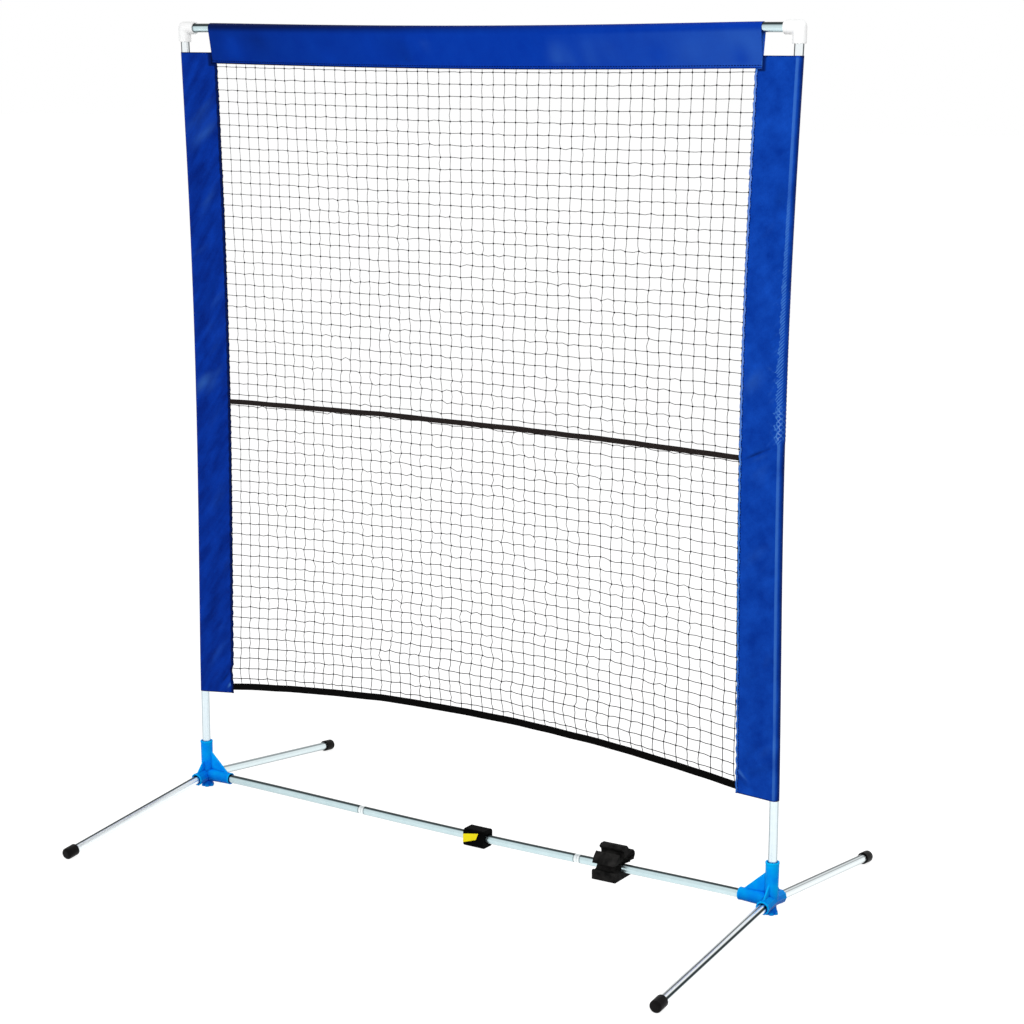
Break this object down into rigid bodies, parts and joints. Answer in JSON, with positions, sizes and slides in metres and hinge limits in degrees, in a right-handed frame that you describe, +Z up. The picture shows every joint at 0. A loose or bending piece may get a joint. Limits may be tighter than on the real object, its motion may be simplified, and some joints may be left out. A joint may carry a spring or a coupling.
{
  "type": "tennis rebound net",
  "caption": "Free-standing rebound net in blue sleeves on a steel tube frame with blue hub feet, white corner elbows and black storage clips",
  "frame": {"origin": "on the floor, below the middle of the frame", "axes": "+Z up, +X to the right end of the crossbar that carries the large clip, +Y to the back"},
  "size_m": [1.5292, 0.9774, 1.8136],
  "materials": {
    "hub_plastic": "moulded, glossy",
    "steel_tube": "bright zinc",
    "white_plastic": "moulded, satin",
    "black_rubber": "matte",
    "sleeve_cloth": "coated woven cloth, slight sheen",
    "net_twine": "twisted twine, matte",
    "black_tape": "woven tape, matte",
    "clip_plastic": "extruded, satin",
    "yellow_label": "plain film"
  },
  "bodies": {
    "base": {"left_hub": "hub_plastic", "right_hub": "hub_plastic", "crossbar_left": "steel_tube", "crossbar_middle": "steel_tube", "crossbar_right": "steel_tube"},
    "upper_frame": {"left_upright_lower": "steel_tube", "left_upright_middle": "steel_tube", "left_upright_upper": "steel_tube", "right_upright_lower": "steel_tube", "right_upright_middle": "steel_tube", "right_upright_upper": "steel_tube", "left_elbow": "white_plastic", "right_elbow": "white_plastic", "top_bar_left": "steel_tube", "top_bar_middle": "steel_tube", "top_bar_right": "steel_tube", "left_sleeve": "sleeve_cloth", "right_sleeve": "sleeve_cloth", "top_sleeve": "sleeve_cloth", "net": "net_twine", "middle_tape": "black_tape", "bottom_tape": "black_tape"},
    "left_front_leg_unit": {"left_front_leg": "steel_tube", "left_front_cap": "black_rubber"},
    "left_back_leg_unit": {"left_back_leg": "steel_tube", "left_back_cap": "black_rubber"},
    "right_front_leg_unit": {"right_front_leg": "steel_tube", "right_front_cap": "black_rubber"},
    "right_back_leg_unit": {"right_back_leg": "steel_tube", "right_back_cap": "black_rubber"},
    "small_clip_unit": {"small_clip": "clip_plastic", "clip_label": "yellow_label"},
    "large_clip_unit": {"large_clip": "clip_plastic"}
  },
  "joints": [
    {"name": "upper_frame_lift", "type": "slide", "parent": "base", "child": "upper_frame", "axis": [0, 0, 1], "range_m": [0, 0.07]},
    {"name": "left_front_leg_pull", "type": "slide", "parent": "base", "child": "left_front_leg_unit", "axis": [0, -0.9937, -0.1125], "range_m": [0, 0.04]},
    {"name": "left_back_leg_pull", "type": "slide", "parent": "base", "child": "left_back_leg_unit", "axis": [0, 0.9937, -0.1125], "range_m": [0, 0.04]},
    {"name": "right_front_leg_pull", "type": "slide", "parent": "base", "child": "right_front_leg_unit", "axis": [0, -0.9937, -0.1125], "range_m": [0, 0.04]},
    {"name": "right_back_leg_pull", "type": "slide", "parent": "base", "child": "right_back_leg_unit", "axis": [0, 0.9937, -0.1125], "range_m": [0, 0.04]},
    {"name": "small_clip_turn", "type": "hinge", "parent": "base", "child": "small_clip_unit", "pos_m": [0.028, 0, 0.06116], "axis": [1, 0, 0.0056], "continuous": true},
    {"name": "large_clip_turn", "type": "hinge", "parent": "base", "child": "large_clip_unit", "pos_m": [0.371, 0, 0.06412], "axis": [0.9999, 0, 0.0128], "continuous": true}
  ]
}
